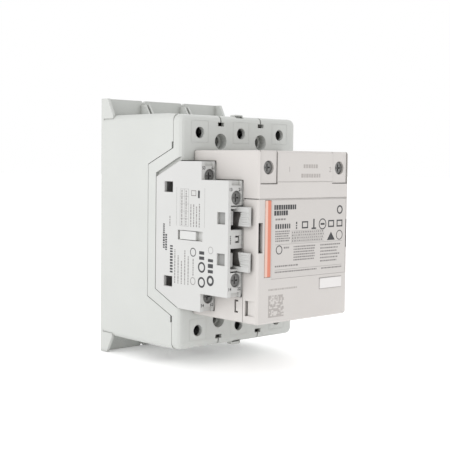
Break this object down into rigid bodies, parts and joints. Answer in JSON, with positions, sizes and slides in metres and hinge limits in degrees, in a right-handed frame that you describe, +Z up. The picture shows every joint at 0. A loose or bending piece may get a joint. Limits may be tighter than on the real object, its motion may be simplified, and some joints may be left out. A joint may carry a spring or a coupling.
{
  "type": "power contactor",
  "caption": "Power contactor with box-clamp terminals above and below, a front coil module and a plug-in auxiliary contact block on its left side.",
  "frame": {"origin": "centre of the flat rear face that goes against the mounting plate", "axes": "+X right as seen from the front, -Y towards the front, +Z up with the coil terminals at the top"},
  "size_m": [0.09, 0.1235, 0.15],
  "materials": {
    "housing_plastic": "fine matt moulded light grey",
    "module_plastic": "fine matt moulded warm light grey",
    "aux_plastic": "satin moulded light grey",
    "slider_plastic": "satin moulded grey",
    "accent": "satin orange inlay",
    "tag": "satin off-white",
    "dark_plastic": "glass-filled black",
    "laminated_steel": "stacked laminations, ground pole faces",
    "winding": "enamelled copper wire",
    "board": "green solder mask",
    "spring_steel": "bright drawn wire",
    "zinc_steel": "zinc plated",
    "screw_steel": "plated, slightly dulled",
    "splitter_steel": "nickel-plated sheet",
    "copper": "rolled copper with silvered tips"
  },
  "bodies": {
    "housing": {"rear_base": "housing_plastic", "front_housing": "housing_plastic", "module_housing": "module_plastic", "magnet_core": "laminated_steel", "coil_bobbin": "dark_plastic", "coil_winding": "winding", "circuit_board": "board", "coil_clamp_1": "zinc_steel", "coil_clamp_2": "zinc_steel", "line_contact_1": "copper", "line_contact_2": "copper", "line_contact_3": "copper", "load_contact_1": "copper", "load_contact_2": "copper", "load_contact_3": "copper", "arc_chute_1": "splitter_steel", "arc_chute_2": "splitter_steel", "arc_chute_3": "splitter_steel", "return_spring_1": "spring_steel", "return_spring_2": "spring_steel"},
    "carrier": {"contact_carrier": "dark_plastic", "armature": "laminated_steel", "contact_spring_1": "spring_steel", "contact_spring_2": "spring_steel", "contact_spring_3": "spring_steel"},
    "cover": {"front_cover": "module_plastic", "accent_stripe": "accent", "marker_tag": "tag"},
    "bridge_1": {"moving_bridge_1": "copper"},
    "bridge_2": {"moving_bridge_2": "copper"},
    "bridge_3": {"moving_bridge_3": "copper"},
    "screw_1": {"clamp_screw_1": "screw_steel"},
    "cage_1": {"clamp_cage_1": "zinc_steel"},
    "screw_2": {"clamp_screw_2": "screw_steel"},
    "cage_2": {"clamp_cage_2": "zinc_steel"},
    "screw_3": {"clamp_screw_3": "screw_steel"},
    "cage_3": {"clamp_cage_3": "zinc_steel"},
    "screw_4": {"clamp_screw_4": "screw_steel"},
    "cage_4": {"clamp_cage_4": "zinc_steel"},
    "screw_5": {"clamp_screw_5": "screw_steel"},
    "cage_5": {"clamp_cage_5": "zinc_steel"},
    "screw_6": {"clamp_screw_6": "screw_steel"},
    "cage_6": {"clamp_cage_6": "zinc_steel"},
    "coil_screw_1": {"coil_screw_1": "screw_steel"},
    "coil_screw_2": {"coil_screw_2": "screw_steel"},
    "aux_block": {"aux_housing": "aux_plastic", "aux_cover": "aux_plastic", "aux_contact_1": "copper", "aux_contact_2": "copper", "aux_contact_3": "copper", "aux_contact_4": "copper"},
    "aux_slider": {"aux_slider": "slider_plastic", "aux_bridge_1": "copper", "aux_bridge_2": "copper"},
    "lever_1": {"aux_lever_1": "aux_plastic"},
    "lever_2": {"aux_lever_2": "aux_plastic"},
    "aux_screw_1": {"aux_screw_1": "screw_steel"},
    "aux_screw_2": {"aux_screw_2": "screw_steel"},
    "aux_screw_3": {"aux_screw_3": "screw_steel"},
    "aux_screw_4": {"aux_screw_4": "screw_steel"}
  },
  "joints": [
    {"name": "carrier_slide", "type": "slide", "parent": "housing", "child": "carrier", "axis": [0, -1, 0], "range_m": [0, 0.005], "stiffness_N_per_m": 2000, "springref_m": -0.008, "deforming": ["return_spring_1", "return_spring_2"]},
    {"name": "bridge_1_slide", "type": "slide", "parent": "carrier", "child": "bridge_1", "axis": [0, -1, 0], "range_m": [-0.0015, 0], "deforming": ["contact_spring_1"]},
    {"name": "bridge_2_slide", "type": "slide", "parent": "carrier", "child": "bridge_2", "axis": [0, -1, 0], "range_m": [-0.0015, 0], "deforming": ["contact_spring_2"]},
    {"name": "bridge_3_slide", "type": "slide", "parent": "carrier", "child": "bridge_3", "axis": [0, -1, 0], "range_m": [-0.0015, 0], "deforming": ["contact_spring_3"]},
    {"name": "cage_1_lift", "type": "slide", "parent": "housing", "child": "cage_1", "axis": [0, -1, 0], "range_m": [0, 0.0075]},
    {"name": "screw_1_turn", "type": "hinge", "parent": "housing", "child": "screw_1", "pos_m": [-0.031, -0.058, 0.0547], "axis": [0, 1, 0], "range_deg": [0, 2160]},
    {"name": "cage_2_lift", "type": "slide", "parent": "housing", "child": "cage_2", "axis": [0, -1, 0], "range_m": [0, 0.0075]},
    {"name": "screw_2_turn", "type": "hinge", "parent": "housing", "child": "screw_2", "pos_m": [0, -0.058, 0.0547], "axis": [0, 1, 0], "range_deg": [0, 2160]},
    {"name": "cage_3_lift", "type": "slide", "parent": "housing", "child": "cage_3", "axis": [0, -1, 0], "range_m": [0, 0.0075]},
    {"name": "screw_3_turn", "type": "hinge", "parent": "housing", "child": "screw_3", "pos_m": [0.031, -0.058, 0.0547], "axis": [0, 1, 0], "range_deg": [0, 2160]},
    {"name": "cage_4_lift", "type": "slide", "parent": "housing", "child": "cage_4", "axis": [0, -1, 0], "range_m": [0, 0.0075]},
    {"name": "screw_4_turn", "type": "hinge", "parent": "housing", "child": "screw_4", "pos_m": [-0.031, -0.058, -0.0547], "axis": [0, 1, 0], "range_deg": [0, 2160]},
    {"name": "cage_5_lift", "type": "slide", "parent": "housing", "child": "cage_5", "axis": [0, -1, 0], "range_m": [0, 0.0075]},
    {"name": "screw_5_turn", "type": "hinge", "parent": "housing", "child": "screw_5", "pos_m": [0, -0.058, -0.0547], "axis": [0, 1, 0], "range_deg": [0, 2160]},
    {"name": "cage_6_lift", "type": "slide", "parent": "housing", "child": "cage_6", "axis": [0, -1, 0], "range_m": [0, 0.0075]},
    {"name": "screw_6_turn", "type": "hinge", "parent": "housing", "child": "screw_6", "pos_m": [0.031, -0.058, -0.0547], "axis": [0, 1, 0], "range_deg": [0, 2160]},
    {"name": "coil_screw_1_turn", "type": "hinge", "parent": "housing", "child": "coil_screw_1", "pos_m": [-0.0275, -0.1145, 0.0362], "axis": [0, 1, 0], "continuous": true},
    {"name": "coil_screw_2_turn", "type": "hinge", "parent": "housing", "child": "coil_screw_2", "pos_m": [0.0275, -0.1145, 0.0362], "axis": [0, 1, 0], "continuous": true},
    {"name": "aux_block_plug", "type": "slide", "parent": "housing", "child": "aux_block", "axis": [-1, 0, 0], "range_m": [0, 0.02]},
    {"name": "aux_slider_slide", "type": "slide", "parent": "aux_block", "child": "aux_slider", "axis": [0, -1, 0], "range_m": [0, 0.005]},
    {"name": "lever_1_pinch", "type": "hinge", "parent": "aux_block", "child": "lever_1", "pos_m": [-0.0397, -0.102, 0.015], "axis": [1, 0, 0], "range_deg": [0, 6], "stiffness_Nm_per_rad": 0.05, "springref_deg": -8.59},
    {"name": "lever_2_pinch", "type": "hinge", "parent": "aux_block", "child": "lever_2", "pos_m": [-0.0397, -0.102, -0.017], "axis": [-1, 0, 0], "range_deg": [0, 6], "stiffness_Nm_per_rad": 0.05, "springref_deg": -8.59},
    {"name": "aux_screw_1_turn", "type": "hinge", "parent": "aux_block", "child": "aux_screw_1", "pos_m": [-0.0393, -0.1, 0.0204], "axis": [0, 1, 0], "continuous": true},
    {"name": "aux_screw_2_turn", "type": "hinge", "parent": "aux_block", "child": "aux_screw_2", "pos_m": [-0.0393, -0.1, -0.0224], "axis": [0, 1, 0], "continuous": true},
    {"name": "aux_screw_3_turn", "type": "hinge", "parent": "aux_block", "child": "aux_screw_3", "pos_m": [-0.0393, -0.08, 0.0312], "axis": [0, 1, 0], "continuous": true},
    {"name": "aux_screw_4_turn", "type": "hinge", "parent": "aux_block", "child": "aux_screw_4", "pos_m": [-0.0393, -0.08, -0.0332], "axis": [0, 1, 0], "continuous": true},
    {"name": "cover_pull", "type": "slide", "parent": "housing", "child": "cover", "axis": [0, -1, 0], "range_m": [0, 0.02]}
  ],
  "couplings": [
    {"joint": "bridge_1_slide", "follows": "carrier_slide", "ratio": -0.3},
    {"joint": "bridge_2_slide", "follows": "carrier_slide", "ratio": -0.3},
    {"joint": "bridge_3_slide", "follows": "carrier_slide", "ratio": -0.3},
    {"joint": "screw_1_turn", "follows": "cage_1_lift", "rad_per_m": 5026.5},
    {"joint": "screw_2_turn", "follows": "cage_2_lift", "rad_per_m": 5026.5},
    {"joint": "screw_3_turn", "follows": "cage_3_lift", "rad_per_m": 5026.5},
    {"joint": "screw_4_turn", "follows": "cage_4_lift", "rad_per_m": 5026.5},
    {"joint": "screw_5_turn", "follows": "cage_5_lift", "rad_per_m": 5026.5},
    {"joint": "screw_6_turn", "follows": "cage_6_lift", "rad_per_m": 5026.5},
    {"joint": "aux_slider_slide", "follows": "carrier_slide", "ratio": 1}
  ]
}
